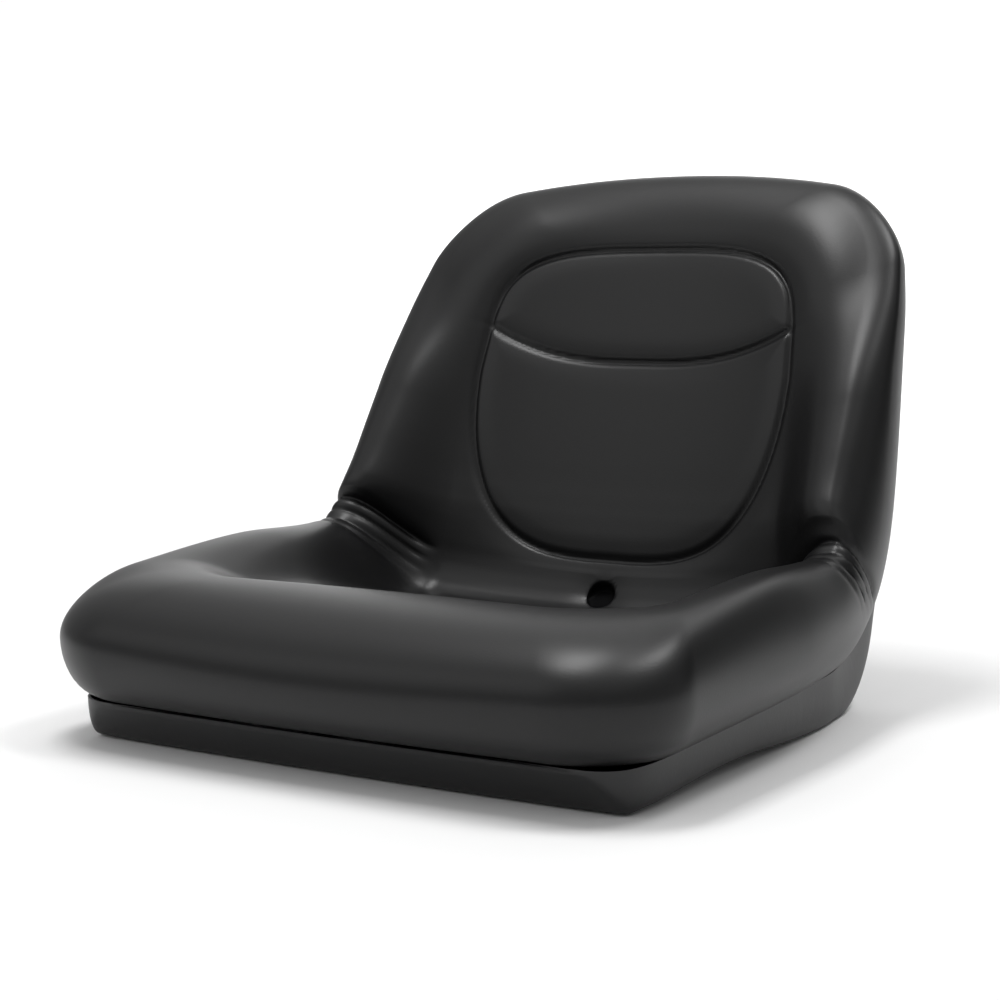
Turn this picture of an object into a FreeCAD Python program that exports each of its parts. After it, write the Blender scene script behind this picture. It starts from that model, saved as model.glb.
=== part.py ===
import FreeCAD, Part
import math
import os

# Ride on mower seat: pressed steel pan, moulded cushion, weld nuts and drain tube.
# Frame: Z up, the seat faces -Y, X across. The origin is the centre of the long bolt pattern on the floor's underside.
# The cushion and the pan are lofts of plane sections that stand square to one side-view path: a seat line, a bend
# and a back line. t runs along the path, s across it and h square to it.

SIZES = [
    ("seat_width", "522 mm"), ("panel_reach", "409.5 mm"), ("back_length", "310 mm"),
    ("seat_rise", "2 deg"), ("back_lean", "17.8 deg"), ("bend_radius", "130 mm"),
    ("seam_height", "28.6 mm"), ("back_foam", "42 mm"),
    ("nose_reach", "51 mm"), ("front_bow", "7.4 mm"), ("top_bow", "32 mm"),
    ("front_roll", "82 mm"), ("bolster_height", "95 mm"), ("wing_height", "104 mm"), ("top_roll", "35 mm"),
    ("dish_curl", "20 mm"), ("overhang", "24 mm"), ("seam_lift", "3.5 mm"), ("rim_gap", "1.2 mm"),
    ("sheet_steel", "1.5 mm"), ("front_draft", "20 mm"), ("wall_round", "9 mm"),
    ("heel_radius", "74 mm"), ("back_depth", "16 mm"), ("foam_clearance", "0.6 mm"), ("top_clearance", "6 mm"),
    ("bolt_across", "292.1 mm"), ("bolt_long", "285.75 mm"), ("bolt_short", "203.2 mm"), ("bolt_front", "28 mm"),
    ("nut_flats", "14 mm"), ("nut_height", "6.5 mm"), ("nut_collar", "10.5 mm"), ("nut_bore", "8.2 mm"),
    ("nut_pocket", "22 mm"), ("nut_pocket_top", "22 mm"),
    ("drain_behind", "365 mm"), ("drain_outside", "28 mm"), ("drain_bore", "25 mm"), ("drain_top", "58 mm"),
    ("funnel_mouth", "58 mm"), ("funnel_top", "100 mm"),
    ("bead_radius", "10.6 mm"), ("bead_rise", "5 mm"), ("bead_across", "75 mm"), ("bead_length", "190 mm"),
    ("bead_start", "75 mm"), ("back_bead_start", "40 mm"), ("side_arch", "8 mm"),
    ("panel_width", "296 mm"), ("panel_low", "106 mm"), ("panel_middle", "259 mm"), ("panel_high", "358 mm"),
    ("crescent_low", "272 mm"), ("crescent_high", "300 mm"), ("groove_radius", "3 mm"), ("pleat_radius", "2.6 mm"),
]

doc = FreeCAD.newDocument("ride_on_mower_seat")
sheet = doc.addObject("Spreadsheet::Sheet", "Sizes")
for row, (alias, value) in enumerate(SIZES, start=1):
    sheet.set("A%d" % row, alias)
    sheet.set("B%d" % row, "=" + value)
    sheet.setAlias("B%d" % row, alias)
doc.recompute()


def size(alias):
    return sheet.get(alias).Value


def spline_slopes(xs, ys):
    steps = [(ys[i + 1] - ys[i]) / (xs[i + 1] - xs[i]) for i in range(len(xs) - 1)]
    slopes = [steps[0]]
    for before, after in zip(steps, steps[1:]):
        slopes.append(0.0 if before * after <= 0 else 2 * before * after / (before + after))
    slopes.append(steps[-1])
    return slopes


def through(stations, x):
    """Smooth curve through (x, y) stations that never overshoots them."""
    xs = [p[0] for p in stations]
    ys = [p[1] for p in stations]
    if x <= xs[0]:
        return ys[0]
    if x >= xs[-1]:
        return ys[-1]
    slopes = spline_slopes(xs, ys)
    i = max(k for k in range(len(xs) - 1) if xs[k] <= x)
    span = xs[i + 1] - xs[i]
    u = (x - xs[i]) / span
    return ((1 + 2 * u) * (1 - u) ** 2 * ys[i] + u * u * (3 - 2 * u) * ys[i + 1]
            + span * (u * (1 - u) ** 2 * slopes[i] - u * u * (1 - u) * slopes[i + 1]))


half_width = size("seat_width") / 2
rise = math.radians(size("seat_rise"))
lean = math.radians(size("back_lean"))
radius = size("bend_radius")
turn = math.pi / 2 - lean - rise
back_y = size("panel_reach") + size("back_foam") / math.cos(lean)
corner_y = (back_y + math.tan(lean) * (size("seam_height") - 200)) / (1 - math.tan(lean) * math.tan(rise))
bend_start = corner_y / math.cos(rise) - radius * math.tan(turn / 2)
bend_end = bend_start + radius * turn
origin_y = size("bolt_front") + size("bolt_long") / 2
nose = -size("nose_reach")
top = bend_end + size("back_length")
middle = (bend_start + bend_end) / 2


def frame_at(t):
    """Path point and the direction square to it, as (y, z) pairs, y from the floor's front edge."""
    angle = rise + min(max((t - bend_start) / radius, 0.0), turn)
    along = (math.cos(angle), math.sin(angle))
    normal = (-math.sin(angle), math.cos(angle))
    pivot_y = bend_start * math.cos(rise) - radius * math.sin(rise)
    pivot_z = size("seam_height") + bend_start * math.sin(rise) + radius * math.cos(rise)
    run = min(t - bend_start, 0.0) + max(t - bend_end, 0.0)
    point = (pivot_y - radius * normal[0] + run * along[0], pivot_z - radius * normal[1] + run * along[1])
    return point, normal


def placed(s, t, h):
    """Point of the seat: the bows of the front and top edges shift t, then the path's frame places it."""
    across = (s / half_width) ** 2
    at_front = max(0.0, 1 - (t - nose) / BOW_REACH) ** 2
    at_top = max(0.0, 1 - (top - t) / BOW_REACH) ** 2
    bowed = t + across * (size("front_bow") * at_front - size("top_bow") * at_top)
    point, normal = frame_at(bowed)
    return FreeCAD.Vector(s, point[0] + h * normal[0] - origin_y, point[1] + h * normal[1])


def bent(t):
    """Position along the path: 0 to 1 on the seat, 1 to 2 in the bend, 2 to 3 on the back."""
    if t < bend_start:
        return max(0.0, (t - nose) / (bend_start - nose))
    if t < bend_end:
        return 1 + (t - bend_start) / (bend_end - bend_start)
    return min(3.0, 2 + (t - bend_end) / (top - bend_end))


WIDTHS = [(0.0, 0.99), (0.14, 0.993), (0.69, 1.0), (1.43, 0.952), (2.1, 0.935), (2.58, 0.89), (3.0, 0.82)]
BOLSTERS = [(0.0, 0.92), (0.3, 0.97), (1.0, 1.03), (1.6, 1.11), (2.0, 1.13), (2.3, 1.0), (2.85, 0.62), (3.0, 0.5)]
EQUATORS = [(0.0, 50.0), (0.4, 56.0), (1.0, 53.0), (1.8, 58.0), (2.3, 58.0), (2.8, 34.0), (3.0, 22.0)]
CRESTS = [(0.0, 0.45), (0.5, 0.42), (1.0, 0.40), (1.8, 0.25), (2.3, 0.28), (2.8, 0.45), (3.0, 0.5)]
DISH = [(0.1, 66.0), (0.45, 50.0), (0.72, 34.0), (1.0, 22.0), (1.55, 14.0), (1.9, 28.0), (2.2, 42.0), (3.0, 42.0)]
FRONT_FOOT, SIDE_FOOT, TOP_FOOT = 150.0, 95.0, 75.0
BOW_REACH = 300.0
TRIM = 0.8
FRONT_SLANT, ARCH_REACH = 1.6, 60.0
PLEAT_OUT, PLEAT_IN = math.radians(82), math.radians(42)
FRONT_EQUATOR, TOP_EQUATOR = 37.0, 12.0
FRONT_CREST, TOP_CREST = 0.62, 0.5
FRONT_CORNER, PAN_CORNER, TOP_CORNER = 3.6, 7.0, 2.45


def roll_place(s, t, inset, corner=FRONT_CORNER):
    """Share of the way from the outline to the roll's foot, and how much of it belongs to the end roll."""
    width = half_width * through(WIDTHS, bent(t))
    side = max(0.0, 1 - (width - inset - abs(s)) / SIDE_FOOT)
    if t < middle:
        end = max(0.0, 1 - (t - nose - inset) / FRONT_FOOT)
        power = corner
    else:
        end = max(0.0, 1 - (top - inset - t) / TOP_FOOT)
        power = TOP_CORNER
    total = side ** power + end ** power
    if total == 0:
        return 1.0, 0.0
    return 1 - total ** (1 / power), end ** power / total


def outline(t, inset, corner=FRONT_CORNER):
    """Half width of the outline at t, by halving."""
    low, high = 0.0, half_width * 1.2
    for _ in range(40):
        half = (low + high) / 2
        if roll_place(half, t, inset, corner)[0] > 0:
            low = half
        else:
            high = half
    return low


def mixed(side_value, front_value, top_value, t, share):
    return share * (front_value if t < middle else top_value) + (1 - share) * side_value


def skin_heights(s, t):
    """Upper and lower height of the cushion's skin over the seam line."""
    place, share = roll_place(s, t, 0.0)
    place = max(place, 0.0)
    where = bent(t)
    side_crest = through(BOLSTERS, where) * (size("bolster_height") if where < 1 else size("wing_height") * 0.92)
    crest = mixed(side_crest, size("front_roll"), size("top_roll"), t, share)
    equator = mixed(through(EQUATORS, where), FRONT_EQUATOR, TOP_EQUATOR, t, share)
    turn_in = mixed(through(CRESTS, where), FRONT_CREST, TOP_CREST, t, share)
    seam = mixed(size("overhang") / SIDE_FOOT, size("overhang") / FRONT_FOOT, size("overhang") / TOP_FOOT, t, share)
    dish = through(DISH, where) + size("dish_curl") * (s / half_width / 0.57) ** 2
    if place < turn_in:
        upper = equator + (crest - equator) * math.sqrt(max(0.0, 1 - (1 - place / turn_in) ** 2))
    else:
        u = (place - turn_in) / (1 - turn_in)
        upper = crest + (dish - crest) * u ** 3 * (10 - 15 * u + 6 * u * u)
    if t > middle:
        plain = equator + (dish - equator) * math.sqrt(max(0.0, 1 - (1 - place) ** 2))
        upper += share * (plain - upper)
    lift = size("seam_lift")
    lower = lift
    if place < seam:
        lower = lift + (equator - lift) * (1 - math.sqrt(max(0.0, 1 - (1 - place / seam) ** 2)))
    return upper, lower


def spread(count):
    """Even angles as shares from -1 to 1, close together at both ends."""
    return [math.sin(math.pi / 2 * (2 * i / (count - 1) - 1)) for i in range(count)]


def curve(points):
    spline = Part.BSplineCurve()
    spline.interpolate(Points=points, Parameters=[i / (len(points) - 1) for i in range(len(points))])
    return spline.toShape()


def loft(wires):
    """Solid through the sections: two long faces, and a ruled face between the two edges of each end section."""
    sides = Part.makeLoft(wires, False, False, False, 5).Faces
    caps = [Part.makeRuledSurface(wire.Edges[0], wire.Edges[1]) for wire in (wires[0], wires[-1])]
    shell = Part.makeShell(sides + caps)
    shell.sewShape()
    solid = Part.makeSolid(shell)
    if solid.Volume < 0:
        solid.reverse()
    return solid


def end_steps(first, last, near):
    """Section places from first to last, close together at both ends and every 15 mm or so in the bend."""
    steps = [first + d for d in near]
    steps += [first + (bend_start - first) * k for k in (0.3, 0.42, 0.55, 0.7, 0.85)]
    steps += [bend_start + (bend_end - bend_start) * k / 9 for k in range(10)]
    steps += [bend_end + (last - bend_end) * k for k in (0.12, 0.27, 0.42, 0.55, 0.66, 0.75)]
    steps += [last - d for d in reversed(near[:-1])]
    return steps


def skin_section(t):
    half = outline(t, 0.0)
    shares = spread(33)
    upper = [placed(half * k, t, skin_heights(half * k, t)[0]) for k in shares]
    lower = [placed(half * k, t, skin_heights(half * k, t)[1]) for k in shares]
    lower[0] = upper[0]
    lower[-1] = upper[-1]
    return Part.Wire([curve(upper), curve(list(reversed(lower)))])


def pan_drop(t):
    """Distance from the path to the pan's underside, square to the path."""
    point, normal = frame_at(t)
    back_line = size("back_depth")
    foot_y = back_y + back_line / math.cos(lean) - 200 * math.tan(lean)
    heel = size("heel_radius")
    heel_y = foot_y - heel * math.tan((math.pi / 2 - lean) / 2)
    low, high = 0.0, 200.0
    for _ in range(40):
        drop = (low + high) / 2
        y = point[0] - drop * normal[0]
        z = point[1] - drop * normal[1]
        behind = (y - foot_y) * math.cos(lean) - z * math.sin(lean)
        outside = z < 0 or behind > 0
        if y > heel_y and z < heel:
            from_centre = math.hypot(y - heel_y, z - heel)
            outside = outside or (from_centre > heel and behind > -heel and z < heel * (1 - math.sin(lean)))
        if outside:
            high = drop
        else:
            low = drop
    return low


def pan_section(t, shell, lift, short=0.0):
    """Tub section: shell is the distance inside the pan's outer face, lift the height of the open side."""
    inset = size("overhang") + shell
    half = outline(t, inset, PAN_CORNER)
    drop = pan_drop(t) - shell + TRIM
    points = []
    for k in spread(29):
        s = half * k
        side = max(0.0, 1 - (half - abs(s)) / size("wall_round"))
        front = max(0.0, 1 - (t - nose - inset) / size("front_draft"))
        upper = max(0.0, 1 - (top - inset - short - t) / size("wall_round"))
        wall = (1 - side ** 3) ** (1 / 3) * (1 - front ** FRONT_SLANT) * (1 - upper ** 3) ** (1 / 3)
        near_edge = min(1.0, max(0.0, 1 - (half - abs(s)) / ARCH_REACH))
        arch = size("side_arch") * math.sin(math.pi * min(1.0, bent(t))) ** 2 * near_edge ** 2 * (3 - 2 * near_edge)
        points.append(placed(s, t, lift - (lift + drop - arch) * wall))
    return Part.Wire([curve(points), Part.makeLine(points[-1], points[0])])


def feature(label, shape):
    made = doc.addObject("Part::Feature", label)
    made.Label = label
    made.Shape = shape
    return made


def bound(kind, name, sizes):
    """Primitive whose properties follow the sheet."""
    made = doc.addObject(kind, name)
    made.Label = name
    for key, text in sizes.items():
        made.setExpression(key, text)
    return made


def cut(name, base, tool):
    made = doc.addObject("Part::Cut", name)
    made.Label = name
    made.Base = base
    made.Tool = tool
    return made


def fused(name, pieces):
    made = doc.addObject("Part::MultiFuse", name)
    made.Label = name
    made.Shapes = pieces
    return made


# Long sections: the skin, the tub's outside, its hollow and the foam that fills it.
NEAR = (0.3, 1.4, 3.5, 7.0, 12.0, 19.0, 30.0, 48.0, 72.0)
steel = size("sheet_steel")
loose = steel + size("foam_clearance")
rim = size("overhang")
skin = feature("skin_loft", loft([skin_section(t) for t in end_steps(nose, top, NEAR)]))
rim_lift = size("seam_lift") - size("rim_gap")
tub = feature("tub_loft", loft([pan_section(t, 0.0, rim_lift)
                                for t in end_steps(nose + rim, top - rim, NEAR)]))
hollow = feature("hollow_loft", loft([pan_section(t, steel, rim_lift + 0.6)
                                      for t in end_steps(nose + rim + steel, top - rim - steel, NEAR)]))
short = size("top_clearance")
filling = feature("filling_loft", loft([pan_section(t, loose, size("seam_lift") + 2 * loose, short)
                                        for t in end_steps(nose + rim + loose, top - rim - loose - short, NEAR)]))


def below(name, level):
    """Block with its top face at a level, to trim a loft to an exact plane."""
    return bound("Part::Box", name, {
        "Length": "2 * Sizes.seat_width", "Width": "4 * Sizes.bolt_long", "Height": "50 mm",
        "Placement.Base.x": "-Sizes.seat_width", "Placement.Base.y": "-2 * Sizes.bolt_long",
        "Placement.Base.z": level + " - 50 mm"})


tub_flat = cut("tub_flat", tub, below("under_floor", "0 mm"))
hollow_flat = cut("hollow_flat", hollow, below("under_hollow", "Sizes.sheet_steel"))
filling_flat = cut("filling_flat", filling, below("under_filling", "Sizes.sheet_steel"))


def capsule(name, start, tilt, radius_text, length_text):
    """Round-ended bar from a start point along the floor or up the back."""
    along = FreeCAD.Vector(0, math.cos(tilt), math.sin(tilt))
    turned = FreeCAD.Rotation(FreeCAD.Vector(1, 0, 0), math.degrees(tilt) - 90)
    bar = bound("Part::Cylinder", name + "_bar", {"Radius": radius_text, "Height": length_text})
    bar.Placement = FreeCAD.Placement(start, turned)
    ends = []
    for end, shift in (("_low", 0.0), ("_high", size("bead_length"))):
        ball = bound("Part::Sphere", name + end, {"Radius": radius_text})
        ball.Placement = FreeCAD.Placement(start + along * shift, turned)
        ends.append(ball)
    return fused(name, [bar] + ends)


# Stiffening beads, pressed inwards: three along the floor and two up the back.
bead_depth = size("bead_radius") - size("bead_rise") - steel
back_bead = placed(0, bend_end + size("back_bead_start"), -size("back_depth") - bead_depth)
bead_places = [(k * size("bead_across"), size("bead_start") - origin_y, -bead_depth, 0.0) for k in (-1, 0, 1)]
bead_places += [(k * size("bead_across"), back_bead.y, back_bead.z, math.pi / 2 - lean) for k in (-1, 1)]
ridges, grooves, reliefs = [], [], []
for number, (x, y, z, tilt) in enumerate(bead_places, start=1):
    start = FreeCAD.Vector(x, y, z)
    ridges.append(capsule("ridge_%d" % number, start, tilt, "Sizes.bead_radius", "Sizes.bead_length"))
    grooves.append(capsule("groove_%d" % number, start, tilt, "Sizes.bead_radius - Sizes.sheet_steel",
                           "Sizes.bead_length"))
    reliefs.append(capsule("relief_%d" % number, start, tilt, "Sizes.bead_radius + Sizes.foam_clearance",
                           "Sizes.bead_length"))
inner_ridges = doc.addObject("Part::MultiCommon", "inner_ridges")
inner_ridges.Label = "inner_ridges"
inner_ridges.Shapes = [fused("all_ridges", ridges), tub_flat]


# Bolt places: the front pair serves both patterns, behind it the short and the long pair.
front_y = "-Sizes.bolt_long / 2"
BOLTS = []
for row, place_y in (("front", front_y), ("short", front_y + " + Sizes.bolt_short"), ("long", "Sizes.bolt_long / 2")):
    for hand, sign in (("left", "-"), ("right", "")):
        BOLTS.append((row + "_" + hand, {"Placement.Base.x": sign + "Sizes.bolt_across / 2",
                                         "Placement.Base.y": place_y}))


def at_bolts(kind, prefix, sizes):
    return [bound(kind, prefix + place, dict(sizes, **where)) for place, where in BOLTS]


bolt_holes = at_bolts("Part::Cylinder", "hole_", {
    "Radius": "Sizes.nut_collar / 2 + 0.15 mm", "Height": "10 mm", "Placement.Base.z": "-5 mm"})
pockets = at_bolts("Part::Cylinder", "pocket_", {
    "Radius": "Sizes.nut_pocket / 2", "Height": "Sizes.nut_pocket_top"})
drain_place = {"Placement.Base.y": "Sizes.drain_behind - Sizes.bolt_front - Sizes.bolt_long / 2"}
drain_hole = bound("Part::Cylinder", "drain_hole", dict(drain_place, **{
    "Radius": "Sizes.drain_outside / 2 + 0.3 mm", "Height": "40 mm", "Placement.Base.z": "-20 mm"}))

# The pan: tub less its hollow, beads joined on the inside, grooves and holes taken from below.
tray = cut("tray", tub_flat, hollow_flat)
beaded = fused("beaded_tray", [tray, inner_ridges])
pan = cut("seat_pan", beaded, fused("pan_openings", grooves + bolt_holes + [drain_hole]))

def on_skin(s, height):
    """Point of the backrest's face at a height over the floor, by halving along the path."""
    low, high = middle, top
    for _ in range(40):
        t = (low + high) / 2
        if placed(s, t, skin_heights(s, t)[0]).z < height:
            low = t
        else:
            high = t
    return placed(s, low, skin_heights(s, low)[0])


def groove(name, points, radius, across, side=0):
    """Round channel through rings on the skin; half a loop leaves and meets the middle square on."""
    points = [skin.Shape.distToShape(Part.Vertex(point))[1][0][0] for point in points]
    spline = Part.BSplineCurve()
    spline.interpolate(points)
    rings = []
    for number, point in enumerate(points):
        along = spline.tangent(spline.parameter(point))[0]
        if side and number == 0:
            along = FreeCAD.Vector(side, 0, 0)
        if side and number == len(points) - 1:
            along = FreeCAD.Vector(-side, 0, 0)
        ring = Part.makeCircle(radius)
        ring.Placement = FreeCAD.Placement(point, FreeCAD.Rotation(across, FreeCAD.Vector(), along, "ZXY"))
        rings.append(Part.Wire(ring))
    return feature(name, Part.makeLoft(rings, True, False))


def panel_half(height):
    """Half width of the panel: a shield below its widest place, a soft-cornered taper above."""
    wide = size("panel_width") / 2
    if height < size("panel_middle"):
        down = (size("panel_middle") - height) / (size("panel_middle") - size("panel_low"))
        return wide * (1 - down ** 2) ** (1 / 3)
    up = (height - size("panel_middle")) / (size("panel_high") - size("panel_middle"))
    return wide * (1 - 0.088 * up) * (1 - up ** 7) ** (1 / 5)


# Grooves formed in the skin: round the backrest panel, across it below the head pad, and the pleats in the bend.
drop_down = size("panel_middle") - size("panel_low")
rise_up = size("panel_high") - size("panel_middle")
steps = [math.pi / 2 * k / 14 for k in range(15)]
lower_side = [size("panel_middle") - drop_down * math.sin(a) for a in reversed(steps[:-1])]
upper_side = [size("panel_middle") + rise_up * math.sin(a) for a in steps[1:-1]]
right_side = [(panel_half(z), z) for z in lower_side + upper_side]
face = FreeCAD.Vector(0, -math.cos(lean), math.sin(lean))
edge = [(k * right_side[0][0], size("panel_low") + k) for k in (0.0, 0.33, 0.66)] + right_side
edge += [(k * right_side[-1][0], size("panel_high") - k) for k in (0.66, 0.33, 0.0)]
panel_right = groove("panel_right", [on_skin(x, z) for x, z in edge], size("groove_radius"), face, 1)
panel_left = groove("panel_left", [on_skin(-x, z) for x, z in edge], size("groove_radius"), face, -1)
crescent = []
reach = panel_half(size("crescent_high"))
for k in spread(13):
    crescent.append(on_skin(k * reach, size("crescent_low")
                            + (size("crescent_high") - size("crescent_low")) * abs(k) ** 2.6))
head_groove = groove("head_groove", crescent, size("groove_radius"), face)
pleats = []
for number, share in enumerate((0.59, 0.42, 0.25), start=1):
    t = bend_start + share * (bend_end - bend_start)
    half = outline(t, 0.0)
    path_direction = placed(0, t + 1, 0) - placed(0, t, 0)
    for hand, sign in (("left", -1), ("right", 1)):
        path = [half * math.sin(PLEAT_OUT + (PLEAT_IN - PLEAT_OUT) * k / 17) for k in range(18)]
        points = [placed(sign * s, t, skin_heights(s, t)[0]) for s in path]
        pleats.append(groove("pleat_%d_%s" % (number, hand), points, size("pleat_radius"), path_direction))
apart = doc.addObject("Part::Compound", "apart_grooves")
apart.Label = "apart_grooves"
apart.Links = [panel_right] + pleats
grooved_skin = cut("grooved_skin", cut("skin_half_grooved", cut("skin_pleated", skin, apart), panel_left), head_groove)

# The cushion: skin and filling in one, cleared for nuts, beads and drain.
funnel = bound("Part::Cone", "funnel", dict(drain_place, **{
    "Radius1": "Sizes.drain_outside / 2", "Radius2": "Sizes.funnel_mouth / 2",
    "Height": "Sizes.funnel_top - Sizes.drain_top", "Placement.Base.z": "Sizes.drain_top"}))
drain_way, skin_drain = [bound("Part::Cylinder", name, dict(drain_place, **{
    "Radius": "Sizes.drain_outside / 2", "Height": "Sizes.funnel_top + 20 mm", "Placement.Base.z": "-20 mm"}))
    for name in ("drain_way", "skin_drain")]
filling_cleared = cut("filling_cleared", filling_flat, fused("filling_openings", pockets + reliefs + [drain_way]))
skin_drained = cut("skin_drained", grooved_skin, fused("skin_openings", [funnel, skin_drain]))
cushion = fused("cushion", [skin_drained, filling_cleared])

# Weld nuts: hexagon on the floor, collar through it flush with the underside, plain bore for the thread.
hexagons = at_bolts("Part::Prism", "hexagon_", {
    "Circumradius": "Sizes.nut_flats / sqrt(3)", "Height": "Sizes.nut_height",
    "Placement.Base.z": "Sizes.sheet_steel"})
collars = at_bolts("Part::Cylinder", "collar_", {
    "Radius": "Sizes.nut_collar / 2", "Height": "Sizes.sheet_steel + 0.5 mm"})
bores = at_bolts("Part::Cylinder", "bore_", {
    "Radius": "Sizes.nut_bore / 2", "Height": "Sizes.nut_height + 20 mm", "Placement.Base.z": "-5 mm"})
nuts = cut("weld_nuts", fused("nut_blanks", hexagons + collars), fused("nut_bores", bores))

# Drain tube, bonded into the foam.
tube_wall = bound("Part::Cylinder", "tube_wall", dict(drain_place, **{
    "Radius": "Sizes.drain_outside / 2", "Height": "Sizes.drain_top - Sizes.sheet_steel",
    "Placement.Base.z": "Sizes.sheet_steel"}))
tube_bore = bound("Part::Cylinder", "tube_bore", dict(drain_place, **{
    "Radius": "Sizes.drain_bore / 2", "Height": "Sizes.drain_top + 20 mm", "Placement.Base.z": "-5 mm"}))
tube = cut("drain_tube", tube_wall, tube_bore)

doc.recompute()

os.makedirs("parts", exist_ok=True)
faults = [made.Label for made in doc.Objects if "Invalid" in made.State or "Error" in made.State]
if faults:
    raise RuntimeError("objects in error: " + ", ".join(faults))
if cushion.Shape.optimalBoundingBox().ZMin > size("sheet_steel") + 1:
    raise RuntimeError("the cushion doesn't reach the pan's floor")
for node, solids in ((pan, 1), (cushion, 1), (nuts, len(BOLTS)), (tube, 1)):
    shape = node.Shape
    if not shape.isValid() or len(shape.Solids) != solids:
        raise RuntimeError("%s: valid %s, %d solids" % (node.Label, shape.isValid(), len(shape.Solids)))
    shape.exportStep("parts/%s.step" % node.Label)
    box = shape.optimalBoundingBox()
    print("%-11s %9.0f mm3  x %.1f..%.1f  y %.1f..%.1f  z %.1f..%.1f" % (
        node.Label, shape.Volume, box.XMin, box.XMax, box.YMin, box.YMax, box.ZMin, box.ZMax))
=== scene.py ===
# %% Load the frame
import bpy
import numpy as np
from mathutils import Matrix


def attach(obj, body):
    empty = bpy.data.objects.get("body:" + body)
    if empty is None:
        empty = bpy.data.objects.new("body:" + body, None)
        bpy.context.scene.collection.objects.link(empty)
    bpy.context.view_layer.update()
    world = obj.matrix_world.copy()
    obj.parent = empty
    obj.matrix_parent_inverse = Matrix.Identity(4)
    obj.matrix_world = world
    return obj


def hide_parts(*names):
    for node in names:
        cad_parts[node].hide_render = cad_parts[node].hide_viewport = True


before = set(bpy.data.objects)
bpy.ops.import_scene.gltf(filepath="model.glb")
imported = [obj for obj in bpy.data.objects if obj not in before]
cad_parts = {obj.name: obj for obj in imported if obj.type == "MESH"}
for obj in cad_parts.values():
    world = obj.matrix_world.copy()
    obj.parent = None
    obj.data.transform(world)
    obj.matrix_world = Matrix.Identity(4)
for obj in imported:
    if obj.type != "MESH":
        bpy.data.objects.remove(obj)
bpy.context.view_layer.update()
print("CAD nodes:", sorted(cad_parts))

# %% [markdown]
# A mower seat's skin is one sheet of vinyl, drawn hot over a mould and filled with foam. A sheet like that
# is easiest to describe flat: s runs across the seat and t runs along it, from the front nose to the top of
# the back. The flat sheet is then laid along a bent side-view line, and h is the height of the skin above
# that line. All sizes are in millimetres until the mesh is made.

# %% The side-view line
# The origin lies in the middle of the long bolt pattern. Along the seat, sizes are counted from a point
# that lies BOLT_FRONT ahead of the front bolts.
BOLT_FRONT, BOLT_LONG = 28.0, 285.75
BOLT_MIDDLE = BOLT_FRONT + BOLT_LONG / 2
SEAT_RISE, BACK_LEAN = np.radians(2.0), np.radians(17.8)
SEAM_HEIGHT, BEND_LENGTH = 28.6, 240.0
BACK_REACH, REACH_HEIGHT, BACK_FOAM = 409.5, 200.0, 42.0
LINE_FROM, LINE_TO, STEP = -120.0, 900.0, 0.25
BEND_SAMPLES = 4000


def side_line():
    """Angle and points of the line: the angle eases from the seat's rise to the back's lean by u^2 (3 - 2 u),
    and the points are the running sums of its cosine and sine. The bend starts where it has to, so that the
    seat's straight line leaves at the seam's height and the back's passes its reach."""
    turn = np.pi / 2 - BACK_LEAN - SEAT_RISE
    u = (np.arange(BEND_SAMPLES) + 0.5) / BEND_SAMPLES
    bend = turn * u * u * (3 - 2 * u)
    reach, lift = np.cos(bend).mean() * BEND_LENGTH, np.sin(bend).mean() * BEND_LENGTH
    back_y = BACK_REACH + BACK_FOAM / np.cos(BACK_LEAN)
    lean, rise = np.tan(BACK_LEAN), np.tan(SEAT_RISE)
    cross_y = (back_y + lean * (SEAM_HEIGHT - REACH_HEIGHT)) / (1 - lean * rise)
    start = cross_y / np.cos(SEAT_RISE) - (reach - lift / np.tan(turn))
    t = np.arange(LINE_FROM, LINE_TO, STEP)
    u = np.clip((t + STEP / 2 - start) / BEND_LENGTH, 0, 1)
    angle = SEAT_RISE + turn * u * u * (3 - 2 * u)
    y, z = np.cumsum(np.cos(angle)) * STEP, np.cumsum(np.sin(angle)) * STEP
    y, z = y - np.interp(-STEP, t, y), z - np.interp(-STEP, t, z) + SEAM_HEIGHT
    return t + STEP, y, z, angle, start


LINE_T, LINE_Y, LINE_Z, LINE_ANGLE, BEND_START = side_line()


def laid(s, t, h):
    """Point of the flat sheet laid on the side line: the line's point at t, plus h along its normal."""
    y, z, angle = (np.interp(t, LINE_T, values) for values in (LINE_Y, LINE_Z, LINE_ANGLE))
    y, z = y - h * np.sin(angle), z + h * np.cos(angle)
    return np.stack([np.broadcast_to(s, y.shape), y - BOLT_MIDDLE, z], axis=-1)


print("bend from %.0f to %.0f mm along the line" % (BEND_START, BEND_START + BEND_LENGTH))

# %% [markdown]
# Heights and widths change gently along the seat, so each is given at a few stations and drawn smoothly
# between them. A monotone cubic is used because an ordinary spline would overshoot and make waves in the
# vinyl.

# %% Smooth values between stations


def through(table, x):
    """Monotone cubic through pairs of station and value: at each station the slope is the weighted harmonic
    mean of the two neighbouring slopes, and it is zero where they change sign."""
    k, v = np.array(table, float).T
    x = np.clip(x, k[0], k[-1])
    width = np.diff(k)
    rise = np.diff(v) / width
    first, second = 2 * width[1:] + width[:-1], width[1:] + 2 * width[:-1]
    product = rise[:-1] * rise[1:]
    sums = first * rise[1:] + second * rise[:-1]
    slope = np.zeros_like(v)
    slope[1:-1] = np.where(product > 0, (first + second) * product / np.where(sums == 0, 1, sums), 0)
    i = np.clip(np.searchsorted(k, x, side="right") - 1, 0, len(k) - 2)
    u = (x - k[i]) / width[i]
    return ((1 + 2 * u) * (1 - u) ** 2 * v[i] + u * (1 - u) ** 2 * width[i] * slope[i]
            + u * u * (3 - 2 * u) * v[i + 1] + u * u * (u - 1) * width[i] * slope[i + 1])


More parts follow.
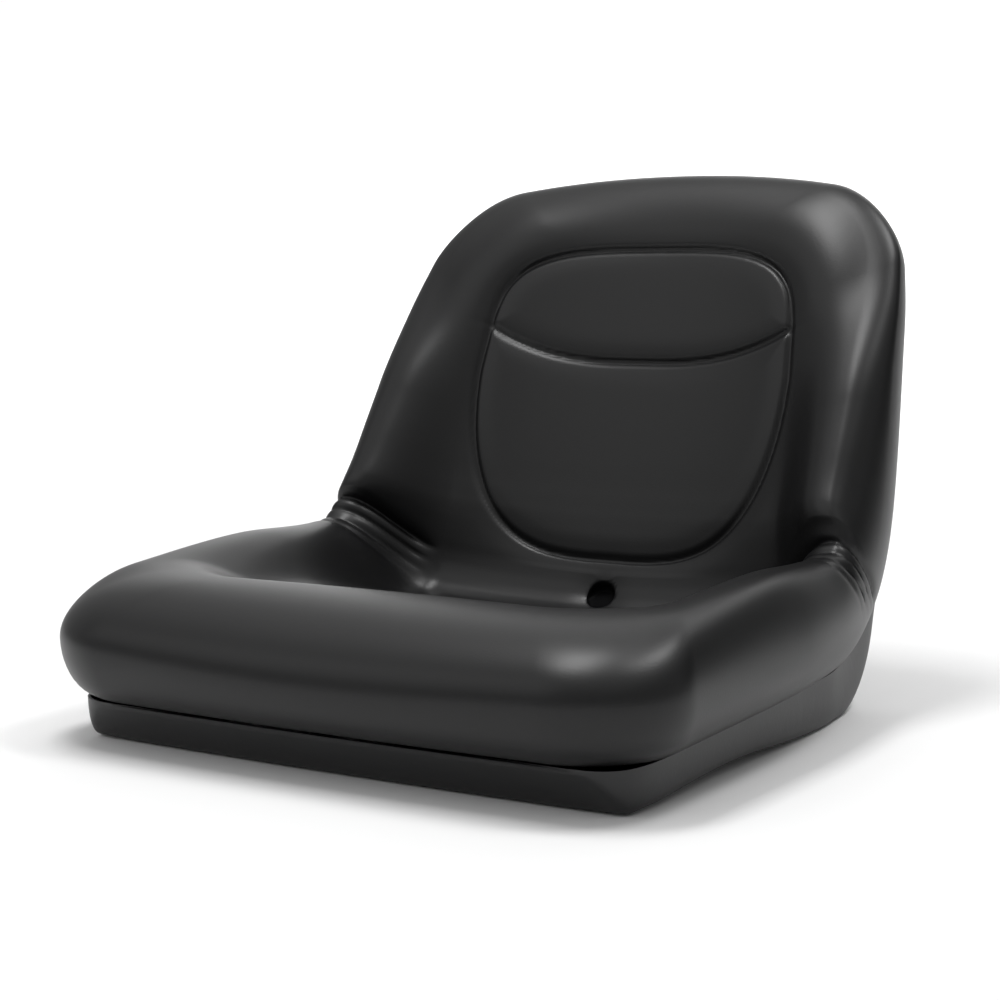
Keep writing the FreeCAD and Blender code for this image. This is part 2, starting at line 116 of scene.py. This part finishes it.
def eased(x):
    """Smooth step from 0 to 1 with no kink and no jump in curvature: x^3 (10 - 15 x + 6 x^2)."""
    x = np.clip(x, 0, 1)
    return x ** 3 * (10 - 15 * x + 6 * x * x)


print("a quarter of the way along, the smooth step is at %.2f" % eased(0.25))

# %% [markdown]
# Seen flat, the sheet is a rounded rectangle. Its outer loop is the widest line of the side rolls, the seam
# loop is where the skin meets the pan, and the foot loop is where the rolls run out into the dish. All
# loops have the same number of points, so a row of points can go from one to the next without a break.

# %% Outer loop, seam loop and foot loop
HALF, NOSE, TOP = 240.0, -51.0, 777.9
EDGE, CORNER, SIDE = 40, 40, 220
# Of each loop: its inset at the sides, the front and the top, then the radii of its front and top corners.
OUTER = (0.0, 0.0, 0.0, 72.0, 72.3)
SEAM = (23.1, 26.0, 24.0, 54.0, 60.0)
FOOT = (95.0, 150.0, 75.0, 60.0, 60.0)


def rounded(side_inset, front_inset, top_inset, low_radius, high_radius):
    """Rounded rectangle: its right half from the middle of the front to the middle of the top, made of
    straight edges and quarter circles, and then that half's mirror image on the way back."""
    half, low, high = HALF - side_inset, NOSE + front_inset, TOP - top_inset
    edge, side = np.linspace(0, 1, EDGE, endpoint=False), np.linspace(0, 1, SIDE, endpoint=False)
    quarter = np.linspace(0, np.pi / 2, CORNER, endpoint=False)
    front = np.stack([edge * (half - low_radius), np.full(EDGE, low)], -1)
    turn_in = np.stack([half - low_radius + low_radius * np.sin(quarter),
                        low + low_radius - low_radius * np.cos(quarter)], -1)
    flank = np.stack([np.full(SIDE, half),
                      low + low_radius + side * (high - high_radius - low - low_radius)], -1)
    turn_out = np.stack([half - high_radius + high_radius * np.cos(quarter),
                         high - high_radius + high_radius * np.sin(quarter)], -1)
    end = np.linspace(1, 0, EDGE + 1)
    crown = np.stack([end * (half - high_radius), np.full(EDGE + 1, high)], -1)
    right = np.concatenate([front, turn_in, flank, turn_out, crown])
    return np.concatenate([right, right[-2:0:-1] * [-1, 1]])


outer, seam, foot = (rounded(*sizes) for sizes in (OUTER, SEAM, FOOT))
LOOP = len(outer)
print("points on a loop:", LOOP)

# %% [markdown]
# From above, the real seat narrows towards the top of its back, and its front and top edges are bowed. The
# plain rectangle is stretched to that plan. The dish, the face to sit on, is low in the bend and curls up
# to the sides.

# %% Plan and dish
HALF_WIDTH = ((0, 259.3), (200, 261.2), (380, 248.7), (500, 244.3), (650, 232.6), (800, 213.3))
FRONT_BOW, TOP_BOW, BOW_REACH = 7.4, 32.4, 300.0
DISH_MIDDLE = ((0, 70), (120, 49), (200, 38.1), (240, 33), (270, 29.2), (300, 25.1), (320, 21.1), (335, 16.8),
               (345, 13.6), (355, 11.5), (365, 11.1), (375, 12.9), (385, 16.6), (395, 21.6), (410, 28.6),
               (425, 33.5), (440, 37), (460, 40.1), (480, 41.5), (510, 42), (800, 42))
DISH_CURL, CURL_HALF = ((60, 10), (200, 17), (330, 4), (390, 13), (460, 20)), 150.0


def shaped(flat):
    """Flat (s, t) made to the plan: s by the half width at t, and t bowed at both ends by (s / half)^2."""
    s, t = flat[..., 0], flat[..., 1]
    bow = (s / HALF) ** 2
    front = np.clip(1 - (t - NOSE) / BOW_REACH, 0, 1) ** 2
    top = np.clip(1 - (TOP - t) / BOW_REACH, 0, 1) ** 2
    return s * through(HALF_WIDTH, t) / HALF, t + FRONT_BOW * bow * front - TOP_BOW * bow * top


def dish(s, t):
    """Height of the sitting face: a station curve along the middle, plus a curl that grows by s squared."""
    return through(DISH_MIDDLE, t) + through(DISH_CURL, t) * (s / CURL_HALF) ** 2


print("plan: %.0f mm at its widest" % (2 * shaped(outer)[0].max()))

# %% [markdown]
# Round the dish runs one fat roll of foam: the front roll under the knees, the bolsters beside the thighs
# and the wings beside the back. Its section goes up from the seam in a quarter ellipse to the widest line,
# on in another to the crest, and then runs down in a soft step to the dish. The section's heights change
# round the loop.

# %% The roll round the dish
LOW_ROWS, HIGH_ROWS, INNER_ROWS = 12, 22, 34
SEAM_LIFT = 4.0
# Stations: middle of the front, front corner, start of the flank, places along it, top corner, middle of
# the top.
FLANK = EDGE + CORNER
FLANK_SHARES = (0.2, 0.35, 0.42, 0.47, 0.545, 0.62, 0.8)
STATIONS = (0, EDGE + CORNER / 2, FLANK, *(FLANK + share * SIDE for share in FLANK_SHARES),
            FLANK + SIDE + CORNER / 2, LOOP / 2)


def round_loop(*values):
    """Station values on the right half of the loop, front to top, given to every point of the whole loop."""
    place = np.arange(LOOP)
    return through(tuple(zip(STATIONS, values)), np.minimum(place, LOOP - place))


crest = round_loop(90.0, 90.5, 92.5, 96.5, 92.0, 93.0, 102.0, 113.5, 115.8, 98.5, 54.6, 33.0)
widest = round_loop(37.5, 46.6, 45.0, 39.0, 43.0, 49.0, 53.5, 58.0, 59.6, 60.4, 31.5, 8.8)
crest_share = round_loop(0.62, 0.50, 0.34, 0.27, 0.25, 0.22, 0.21, 0.23, 0.25, 0.28, 0.50, 0.50)
plain_top = round_loop(0, 0, 0, 0, 0, 0, 0, 0, 0, 0.1, 0.9, 1.0)


def roll_rows():
    """Rows of (s, t, h) from the seam to the foot: a quarter ellipse up to the widest line, then two sections
    mixed by place, one with a crest between ellipse and soft step, and one plain quarter ellipse for the thin
    top edge."""
    inward = foot - outer
    low = np.linspace(-np.pi / 2, 0, LOW_ROWS, endpoint=False)[:, None]
    high = np.linspace(0, np.pi / 2, HIGH_ROWS, endpoint=False)[:, None]
    inner = np.linspace(0, 1, INNER_ROWS)[:, None]
    whole = np.linspace(0, np.pi / 2, HIGH_ROWS + INNER_ROWS)[:, None]
    crested = np.concatenate([crest_share * (1 - np.cos(high)), crest_share + (1 - crest_share) * inner])
    share = crested + plain_top * (1 - np.cos(whole) - crested)
    under = outer + (seam - outer) * (1 - np.cos(low))[..., None]
    s, t = shaped(np.concatenate([under, outer + inward * share[..., None]]))
    sitting = dish(s, t)[LOW_ROWS:]
    with_crest = np.concatenate([widest + (crest - widest) * np.sin(high),
                                 crest + (sitting[HIGH_ROWS:] - crest) * eased(inner)])
    aim = sitting[-1] + (sitting - sitting[-1]) * eased(share)
    plain = widest + (aim - widest) * np.sin(whole)
    h = np.concatenate([SEAM_LIFT + (widest - SEAM_LIFT) * (1 + np.sin(low)),
                        with_crest + plain_top * (plain - with_crest)])
    return s, t, h


roll_s, roll_t, roll_h = roll_rows()
print("roll: %d rows of %d points" % roll_s.shape)

# %% [markdown]
# The dish fills the foot loop. A patch that blends the four sides of a loop, known as a Coons patch, gives
# even four-sided faces right into the corners, where a fan of triangles would pucker.

# %% The sitting face
ACROSS, ALONG = 2 * EDGE + CORNER, SIDE + CORNER


def patch(loop):
    """Coons patch: front-to-top blend plus left-to-right blend, minus the blend of the four corners."""
    turned = np.roll(loop, ACROSS // 2, axis=0)
    front, right = turned[:ACROSS + 1], turned[ACROSS:ACROSS + ALONG + 1]
    top = turned[ACROSS + ALONG:2 * ACROSS + ALONG + 1][::-1]
    left = np.concatenate([turned[2 * ACROSS + ALONG:], turned[:1]])[::-1]
    u, v = np.linspace(0, 1, ACROSS + 1)[None, :, None], np.linspace(0, 1, ALONG + 1)[:, None, None]
    corners = (1 - u) * (1 - v) * front[0] + u * (1 - v) * front[-1] + (1 - u) * v * top[0] + u * v * top[-1]
    return (1 - v) * front + v * top + (1 - u) * left[:, None] + u * right[:, None] - corners


face_s, face_t = shaped(patch(foot))
print("face: %d by %d points" % face_s.shape)

# %% [markdown]
# Rain would stand in the dish, so a drain runs down through the seat. In the skin it shows as a round hole
# in a shallow dimple, over the drain tube. The grid's points are drawn towards the hole's edge, so that the
# edge comes out round. The hole is cut through raw foam, so it is dull and dark inside: a value on each
# point says so.

# %% The drain hole
DRAIN_Y, HOLE_FLOOR = 367.5 - BOLT_MIDDLE, 8.0
DRAW_REACH = 22.0
DRAWN_TO = ((0, 0), (10, 12.2), (15, 13.0), (DRAW_REACH, DRAW_REACH))
DIMPLE_DEPTH, DIMPLE_SPREAD = 3.5, 18.0
HOLE_WALL_FROM, HOLE_WALL_WIDTH = 9.0, 5.0
FOAM_EDGE, FOAM_FADE = 12.5, 3.0
TINY = 1e-9
# Distances are taken along the skin: its middle line is measured by the running sum of its short steps.
middle = laid(0.0, LINE_T, dish(0.0, LINE_T))
arc = np.concatenate([[0], np.cumsum(np.linalg.norm(np.diff(middle, axis=0), axis=1))])
drain_arc = arc[np.abs(middle[:, 1] - DRAIN_Y).argmin()]
from_arc = np.interp(face_t, LINE_T, arc) - drain_arc
hole_gap = np.hypot(face_s, from_arc) + TINY
drawn = np.where(hole_gap < DRAW_REACH, through(DRAWN_TO, hole_gap) / hole_gap, 1.0)
face_s, face_t = face_s * drawn, np.interp(drain_arc + from_arc * drawn, arc, LINE_T)
face_h = dish(face_s, face_t) - DIMPLE_DEPTH * np.exp(-(hole_gap * drawn / DIMPLE_SPREAD) ** 2)
face_h += (HOLE_FLOOR - face_h) * (1 - eased((hole_gap - HOLE_WALL_FROM) / HOLE_WALL_WIDTH))
in_hole = 1 - eased((hole_gap - FOAM_EDGE) / FOAM_FADE)
print("drain: %d points drawn in" % (hole_gap < DRAW_REACH).sum())

# %% [markdown]
# The back has a panel that looks sewn: a rounded outline with a crescent across it, moulded as narrow
# grooves between soft pads. Both lines are first drawn on the face, as points one millimetre apart.

# %% Lines of the back panel
PANEL_HALF, PANEL_LOW, PANEL_MIDDLE, PANEL_HIGH = 148.0, 105.0, 259.0, 364.5
SHIELD_POWERS, CROWN_POWERS, CROWN_TAPER = (2.2, 0.31), (5, 0.29), 0.06
CRESCENT_LOW, CRESCENT_ENDS, CRESCENT_POWER = 267.5, 299.0, 2.7
BACK_FROM, BACK_STEPS, LINE_POINTS, LINE_STEP = 390.0, 1600, 241, 1.0


def panel_half(z):
    """Half width of the panel at a height: two power curves, a pointed shield below and a square crown."""
    down = np.clip((PANEL_MIDDLE - z) / (PANEL_MIDDLE - PANEL_LOW), 0, 1)
    up = np.clip((z - PANEL_MIDDLE) / (PANEL_HIGH - PANEL_MIDDLE), 0, 1)
    shield = PANEL_HALF * (1 - down ** SHIELD_POWERS[0]) ** SHIELD_POWERS[1]
    return shield * (1 - CROWN_TAPER * up) * (1 - up ** CROWN_POWERS[0]) ** CROWN_POWERS[1]


def on_face(s, z):
    """Points of the sitting face at given s and height z, found on a fine table of heights along t."""
    t = np.linspace(BACK_FROM, TOP, BACK_STEPS)
    heights = laid(s[:, None], t[None], dish(s[:, None], t[None]))[..., 2]
    nearest = np.abs(heights - z[:, None]).argmin(axis=1)
    return laid(s, t[nearest], dish(s, t[nearest]))


def even(points):
    """The same line with its points one step apart: each coordinate is read off at even lengths along it."""
    length = np.concatenate([[0], np.cumsum(np.linalg.norm(np.diff(points, axis=0), axis=1))])
    at = np.linspace(0, length[-1], int(length[-1] / LINE_STEP) + 1)
    return np.stack([np.interp(at, length, points[:, i]) for i in range(3)], -1)


def panel_line():
    """Line round the panel: the height follows an angle's sine, and the half width follows the height."""
    turn = np.linspace(-np.pi / 2, np.pi / 2, LINE_POINTS)
    reach = np.where(turn < 0, PANEL_MIDDLE - PANEL_LOW, PANEL_HIGH - PANEL_MIDDLE)
    z = PANEL_MIDDLE + reach * np.sin(turn)
    right = on_face(panel_half(z), z)
    return even(np.concatenate([right, right[::-1] * [-1, 1, 1]]))


def crescent_line():
    """Line across the panel: its height rises from the middle to the ends by a power of the distance."""
    across = np.linspace(-1, 1, LINE_POINTS)
    z = CRESCENT_LOW + (CRESCENT_ENDS - CRESCENT_LOW) * np.abs(across) ** CRESCENT_POWER
    return even(on_face(across * panel_half(np.full(LINE_POINTS, CRESCENT_ENDS)), z))


outline, crescent = panel_line(), crescent_line()
print("panel line %.0f mm, crescent %.0f mm" % (len(outline), len(crescent)))

# %% [markdown]
# A groove is a dent whose depth depends only on how far a point is from the groove's line. Where two lines
# meet, the deeper dent counts, so that the crescent runs cleanly into the outline.

# %% Press the grooves into the face
GROOVE_DEPTH, GROOVE_HALF, PAD_DEPTH, PAD_HALF = 4.0, 2.6, 2.4, 12.0
GROOVES_FROM = 400.0


def nearest_gap(points, line):
    """Distance of each point from a line of close points: the part of the gap square to the line."""
    squares = (points ** 2).sum(1)[:, None] - 2 * points @ line.T + (line ** 2).sum(1)
    near = squares.argmin(axis=1)
    direction = np.gradient(line, axis=0)[near]
    direction /= np.linalg.norm(direction, axis=1)[:, None] + TINY
    gap = points - line[near]
    reach = (gap * direction).sum(1)
    beyond = np.clip(np.abs(reach) - LINE_STEP, 0, None)
    return np.sqrt(np.clip((gap ** 2).sum(1) - reach ** 2, 0, None) + beyond ** 2)


def groove_dent(gap):
    """Depth of a groove: a narrow bell for the line itself, and a wide shallow one that rounds the pads."""
    return GROOVE_DEPTH * np.exp(-(gap / GROOVE_HALF) ** 2) + PAD_DEPTH * np.exp(-(gap / PAD_HALF) ** 2)


def with_grooves(s, t, h):
    """Heights less the deeper dent of the panel's two lines, for the points on the back only."""
    back = t > GROOVES_FROM
    points = laid(s[back], t[back], h[back])
    h = h.copy()
    dents = [groove_dent(nearest_gap(points, line)) for line in (outline, crescent)]
    h[back] -= np.maximum(*dents)
    return h


face_h = with_grooves(face_s, face_t, face_h)
roll_h[-INNER_ROWS:] = with_grooves(roll_s[-INNER_ROWS:], roll_t[-INNER_ROWS:], roll_h[-INNER_ROWS:])
print("a groove is %.1f mm deep" % groove_dent(0.0))

# %% [markdown]
# Where the seat turns up into the back, the vinyl on the bolsters has more length than it needs and gathers
# in pleats. Each pleat is a crease with a round roll beside it. It fades towards the dish, down the outer
# side and a little on the bolster's shoulder. The vinyl didn't gather alike on both sides: the right pleats
# lie 8 mm lower.

# %% Pleats in the bend
# Each crease lies in a plane tipped at 45 degrees. Of each: its place on a scale that is slanted like that,
# its depth, and its half widths below and above.
CREASES = ((204.0, 7.5, 2.6, 3.2), (194.0, 3.2, 2.4, 2.4), (184.0, 3.0, 2.4, 2.4), (174.5, 1.8, 2.4, 2.4))
SIDE_SHIFT = 4.0
INNER_END, INNER_FADE = 156.0, 26.0
OUTER_END, OUTER_FADE = 76.0, 30.0
SHOULDER, SHOULDER_FADE, SHOULDER_LOSS = 205.0, 35.0, 0.4


def crease_dent(points):
    """Sum of pointed bells about each crease's plane, whose place is (y + z) / root 2, faded out at the inner
    end and down the outer side."""
    across, height = np.abs(points[..., 0]), points[..., 2]
    slant = (points[..., 1] + height) / np.sqrt(2) + SIDE_SHIFT * np.sign(points[..., 0])
    dent = 0
    for place, depth, below, above in CREASES:
        gap = slant - place
        dent = dent + depth * np.exp(-np.abs(gap) / np.where(gap < 0, below, above))
    inner_end = eased((across - INNER_END) / INNER_FADE)
    outer_end = eased((height - OUTER_END) / OUTER_FADE)
    shallower = 1 - SHOULDER_LOSS * eased((across - SHOULDER) / SHOULDER_FADE)
    return dent * inner_end * outer_end * shallower


def outward(grid):
    """Unit normals of a grid that closes on itself along its rows: cross product of its two directions."""
    along = np.roll(grid, -1, axis=1) - np.roll(grid, 1, axis=1)
    normal = np.cross(along, np.gradient(grid, axis=0))
    return normal / (np.linalg.norm(normal, axis=-1, keepdims=True) + TINY)


roll, face = laid(roll_s, roll_t, roll_h), laid(face_s, face_t, face_h)
roll = roll - outward(roll) * crease_dent(roll)[..., None]
print("deepest crease %.1f mm, top of the roll at %.0f mm" % (crease_dent(roll).max(), roll[..., 2].max()))

# %% [markdown]
# Under the seam the skin tucks in over the pan's rim and closes below. The two rows of the tuck end on a
# smaller loop with round ends, and strips across that loop close the piece.

# %% Underside
UNDER_HALF, UNDER_SHORTER, UNDER_HEIGHT = 150.0, 160.0, 6.0
TUCK_SHARE, TUCK_HEIGHT = 1.5, 5.0


def under_loop():
    """A loop with round ends inside the seam: s follows a sine and t a cosine, so no two rows share a t."""
    angle = 2 * np.pi * np.arange(LOOP) / LOOP
    half_length = (TOP - NOSE - UNDER_SHORTER) / 2
    return np.stack([UNDER_HALF * np.sin(angle), (NOSE + TOP) / 2 - half_length * np.cos(angle)], -1)


tuck = outer + (seam - outer) * TUCK_SHARE
below = [laid(*shaped(loop), np.full(LOOP, height))
         for loop, height in ((under_loop(), UNDER_HEIGHT), (tuck, TUCK_HEIGHT))]
rings = np.concatenate([np.array(below), roll])
print("rings from the underside to the foot:", len(rings))

# %% [markdown]
# The rings and the face are now joined to one closed mesh. Points on the face's edge are the last ring's
# own points, so nothing has to be merged. The mesh is made in metres.

# %% Cushion mesh


def ring_faces(rows):
    """Four-sided faces between neighbouring rows of a closed loop, as indices."""
    r, i = np.meshgrid(np.arange(rows - 1), np.arange(LOOP), indexing="ij")
    j = (i + 1) % LOOP
    return np.stack([r * LOOP + i, r * LOOP + j, (r + 1) * LOOP + j, (r + 1) * LOOP + i], -1).reshape(-1, 4)


def face_numbers(first_free, last_ring):
    """Index of each patch point: those on its edge are the last ring's own points, the rest are new."""
    number = np.zeros((ALONG + 1, ACROSS + 1), int)
    inside = np.arange((ALONG - 1) * (ACROSS - 1)).reshape(ALONG - 1, ACROSS - 1)
    number[1:-1, 1:-1] = first_free + inside
    edge = last_ring + (np.arange(LOOP) - ACROSS // 2) % LOOP
    number[0], number[:, -1] = edge[:ACROSS + 1], edge[ACROSS:ACROSS + ALONG + 1]
    number[-1] = edge[ACROSS + ALONG:2 * ACROSS + ALONG + 1][::-1]
    number[:, 0] = np.concatenate([edge[2 * ACROSS + ALONG:], edge[:1]])[::-1]
    return number


number = face_numbers(len(rings) * LOOP, (len(rings) - 1) * LOOP)
quads = np.stack([number[:-1, :-1], number[:-1, 1:], number[1:, 1:], number[1:, :-1]], -1).reshape(-1, 4)
right_side, left_side = np.arange(1, LOOP // 2), LOOP - np.arange(1, LOOP // 2)
strips = np.stack([right_side[:-1], left_side[:-1], left_side[1:], right_side[1:]], -1)
ends = [[0, LOOP - 1, 1], [LOOP // 2, LOOP // 2 - 1, LOOP // 2 + 1]]
points = np.concatenate([rings.reshape(-1, 3), face[1:-1, 1:-1].reshape(-1, 3)]) / 1000
faces = np.concatenate([ring_faces(len(rings)), quads, strips]).tolist() + ends
skin_mesh = bpy.data.meshes.new("cushion_skin")
skin_mesh.from_pydata(points.tolist(), [], faces)
skin_mesh.shade_smooth()
cut_foam = np.concatenate([np.zeros(len(rings) * LOOP), in_hole[1:-1, 1:-1].ravel()])
skin_mesh.attributes.new("cut_foam", "FLOAT", "POINT").data.foreach_set("value", cut_foam)
cushion = bpy.data.objects.new("cushion_skin", skin_mesh)
bpy.context.collection.objects.link(cushion)
print("cushion: %d points, %d faces" % (len(skin_mesh.vertices), len(skin_mesh.polygons)))

# %% [markdown]
# Colours are read from a picture as sRGB, while the shader works in linear light, so one function turns hex
# values into linear ones. One more adds a node with its settings and links.

# %% Colour and node helpers


def linear(code):
    """sRGB hex to linear RGBA: below 0.04045 divide by 12.92, above it take ((c + 0.055) / 1.055) ^ 2.4."""
    c = np.array([int(code[i:i + 2], 16) for i in (1, 3, 5)]) / 255
    return (*np.where(c <= 0.04045, c / 12.92, ((c + 0.055) / 1.055) ** 2.4), 1.0)


def add(material, kind, links=(), **settings):
    """One node: settings go to its attributes or, if it has none of that name, to its input sockets."""
    node = material.node_tree.nodes.new(kind)
    for name, value in settings.items():
        if hasattr(node, name):
            setattr(node, name, value)
        else:
            node.inputs[name.replace("_", " ")].default_value = value
    for socket, source, output in links:
        material.node_tree.links.new(source.outputs[output], node.inputs[socket])
    return node


def finish(name, color, roughness, metallic=0.0, ior=1.5):
    """A material with one Principled shader: gives both, so that a pattern can be linked to the shader."""
    material = bpy.data.materials.new(name)
    material.use_nodes = True
    shader = material.node_tree.nodes["Principled BSDF"]
    for socket, value in (("Base Color", linear(color)), ("Roughness", roughness), ("Metallic", metallic),
                          ("IOR", ior)):
        shader.inputs[socket].default_value = value
    return material, shader


def grained(material, shader, scale_mm, height_mm):
    """Noise grain of a given size pressed into the surface: bump height in metres, on object coordinates."""
    place = add(material, "ShaderNodeTexCoord")
    grain = add(material, "ShaderNodeTexNoise", [("Vector", place, "Object")], Scale=1000 / scale_mm,
                Detail=2.0)
    bump = add(material, "ShaderNodeBump", [("Height", grain, "Fac")], Distance=height_mm / 1000,
               Strength=1.0)
    material.node_tree.links.new(bump.outputs["Normal"], shader.inputs["Normal"])


print("middle grey is %.3f in linear light" % linear("#808080")[0])

# %% [markdown]
# The skin is PVC-coated cloth, drawn over a mould with a fine leather grain. PVC has an index of about
# 1.53, and the grain spreads its gloss into a satin sheen. The pan is steel with a baked powder coat, whose
# melted grains leave a slight orange-peel texture. The nuts are zinc plated, and the drain tube is black
# polyethylene.

# %% Materials
# Of each grain: the width and the height of its bumps. Gloss is the shader's specular level.
VINYL_GRAIN, POWDER_GRAIN = (1.6, 0.05), (2.2, 0.06)
VINYL_GLOSS, FOAM_GLOSS = 0.36, 0.02
vinyl, vinyl_shader = finish("grained PVC-coated cloth, black", "#0a0a0b", 0.38, ior=1.53)
foam = add(vinyl, "ShaderNodeAttribute", attribute_name="cut_foam")
gloss = add(vinyl, "ShaderNodeMapRange", [("Value", foam, "Fac")], To_Min=VINYL_GLOSS, To_Max=FOAM_GLOSS)
vinyl.node_tree.links.new(gloss.outputs["Result"], vinyl_shader.inputs["Specular IOR Level"])
grained(vinyl, vinyl_shader, *VINYL_GRAIN)
powder, powder_shader = finish("black powder-coated steel", "#161617", 0.42)
grained(powder, powder_shader, *POWDER_GRAIN)
zinc = finish("zinc-plated steel", "#b9bcc0", 0.35, metallic=1.0)[0]
tube = finish("black polyethylene", "#161616", 0.5)[0]
for node, material in (("seat_pan", powder), ("weld_nuts", zinc), ("drain_tube", tube)):
    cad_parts[node].data.materials.clear()
    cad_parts[node].data.materials.append(material)
    print(node, "is", material.name)
skin_mesh.materials.append(vinyl)
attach(cushion, "root")
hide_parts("cushion")

# %% [markdown]
# The stage is a sheet of white paper that curves up into a wall, so that the picture shows no edge behind
# the seat. To the right, outside the picture, the paper has painted shade: it grows grey, so that the seat's
# right side has something dark to mirror. From here on sizes are in metres.

# %% Floor
FLOOR_HALF, FLOOR_FRONT, FLOOR_GAP = 7.0, -6.0, 0.0015
SWEEP_FROM, SWEEP_RADIUS, SWEEP_POINTS, WALL_TOP = 3.0, 2.0, 24, 8.0
# The grey end of the paper is painted shade, standing in for a dark room on the seat's right.
WHITE_PAPER, PAINTED_SHADE_GREY, PAINTED_SHADE_FROM, PAINTED_SHADE_TO = "#f2f2f2", "#6a6a6a", 0.55, 1.6


def swept_floor():
    """A wide sheet whose section is a floor just under the pan, a quarter circle and a wall."""
    angle = np.linspace(0, np.pi / 2, SWEEP_POINTS)
    wall_y = SWEEP_FROM + SWEEP_RADIUS
    y = np.concatenate([[FLOOR_FRONT], SWEEP_FROM + SWEEP_RADIUS * np.sin(angle), [wall_y]])
    z = np.concatenate([[0.0], SWEEP_RADIUS - SWEEP_RADIUS * np.cos(angle), [WALL_TOP]]) - FLOOR_GAP
    rows = len(y)
    points = np.stack([np.repeat([-FLOOR_HALF, FLOOR_HALF], rows), np.tile(y, 2), np.tile(z, 2)], -1)
    n = np.arange(rows - 1)
    return points, np.stack([n, n + rows, n + rows + 1, n + 1], -1)


floor_points, floor_faces = swept_floor()
floor_mesh = bpy.data.meshes.new("floor")
floor_mesh.from_pydata(floor_points.tolist(), [], floor_faces.tolist())
floor_mesh.shade_smooth()
floor = bpy.data.objects.new("floor", floor_mesh)
paper, paper_shader = finish("studio paper with painted shade to the right", WHITE_PAPER, 0.9)
place = add(paper, "ShaderNodeTexCoord")
across = add(paper, "ShaderNodeSeparateXYZ", [("Vector", place, "Object")])
# Painted shade: the paper's colour runs from white to grey between these two x positions.
share = add(paper, "ShaderNodeMapRange", [("Value", across, "X")], From_Min=PAINTED_SHADE_FROM, From_Max=PAINTED_SHADE_TO)
shade = add(paper, "ShaderNodeValToRGB", [("Fac", share, "Result")])
for stop, code in zip(shade.color_ramp.elements, (WHITE_PAPER, PAINTED_SHADE_GREY)):
    stop.color = linear(code)
paper.node_tree.links.new(shade.outputs["Color"], paper_shader.inputs["Base Color"])
floor_mesh.materials.append(paper)
bpy.context.collection.objects.link(floor)
print("floor: %d faces" % len(floor_mesh.polygons))

# %% [markdown]
# Black vinyl shows its form by what it mirrors. So the overhead lamp stands where the roll and the wings
# mirror it, and the fill at the front left where the back panel does. The other lamps light the paper, the
# room and the top edge of the back.

# %% Light
WORLD_STRENGTH, NEARLY_UPRIGHT = 0.38, 0.99
# Of each lamp: name, place, aim, width and height, and power in watts.
LAMPS = (("overhead", (-0.25, -0.14, 2.1), (-0.25, -0.141, 0.0), (0.5, 0.9), 20),
         ("ceiling", (0.0, 0.0, 3.6), (0.0, 0.001, 0.0), (8.0, 8.0), 55),
         ("right floor", (0.9, 0.5, 2.2), (0.6, 0.2, 0.0), (0.6, 0.6), 15),
         ("front left fill", (-1.6, -2.3, 1.9), (0.0, 0.24, 0.25), (2.4, 1.6), 8),
         ("back top", (0.4, 3.2, 2.4), (0.0, 0.2, 0.2), (2.4, 0.8), 9),
         ("wall wash", (-2.6, 2.2, 3.2), (-3.0, 5.0, 1.0), (4.0, 1.0), 170))


def lamp(name, place, aim, size, power):
    """Soft rectangular lamp: z runs from the aim to the lamp, x is level, and y is square to both."""
    light = bpy.data.lights.new(name, "AREA")
    light.shape, light.energy = "RECTANGLE", power
    light.size, light.size_y = size
    z = np.subtract(place, aim)
    z = z / np.linalg.norm(z)
    x = np.cross((0, 0, 1) if abs(z[2]) < NEARLY_UPRIGHT else (0, 1, 0), z)
    x = x / np.linalg.norm(x)
    turned = np.eye(4)
    turned[:3] = np.stack([x, np.cross(z, x), z, place], -1)
    lamp_object = bpy.data.objects.new(name, light)
    lamp_object.matrix_world = turned.T.tolist()
    bpy.context.collection.objects.link(lamp_object)


for settings in LAMPS:
    lamp(*settings)
world = bpy.data.worlds.new("studio")
bpy.context.scene.world = world
world.use_nodes = True
world.node_tree.nodes["Background"].inputs["Color"].default_value = linear("#ffffff")
world.node_tree.nodes["Background"].inputs["Strength"].default_value = WORLD_STRENGTH
print("lamps:", len(LAMPS))

# %% [markdown]
# The camera stands at the front right, at about three quarters of the seat's height, and looks slightly
# down. Its place, turn and lens were worked out from the pan's straight edges and the seat's two equal
# sides.

# %% Camera
CAMERA_PLACE, CAMERA_TURN = (0.8135, -1.280475, 0.333), (83.95, 0.0, 31.7)
LENS, SENSOR = 72.97, 36.0
camera_data = bpy.data.cameras.new("camera")
camera_data.lens, camera_data.sensor_width = LENS, SENSOR
camera = bpy.data.objects.new("camera", camera_data)
camera.location = CAMERA_PLACE
camera.rotation_euler = np.radians(CAMERA_TURN)
bpy.context.collection.objects.link(camera)
bpy.context.scene.camera = camera
bpy.context.scene.view_settings.view_transform = "Standard"
print("camera %.2f m from the origin" % np.linalg.norm(CAMERA_PLACE))
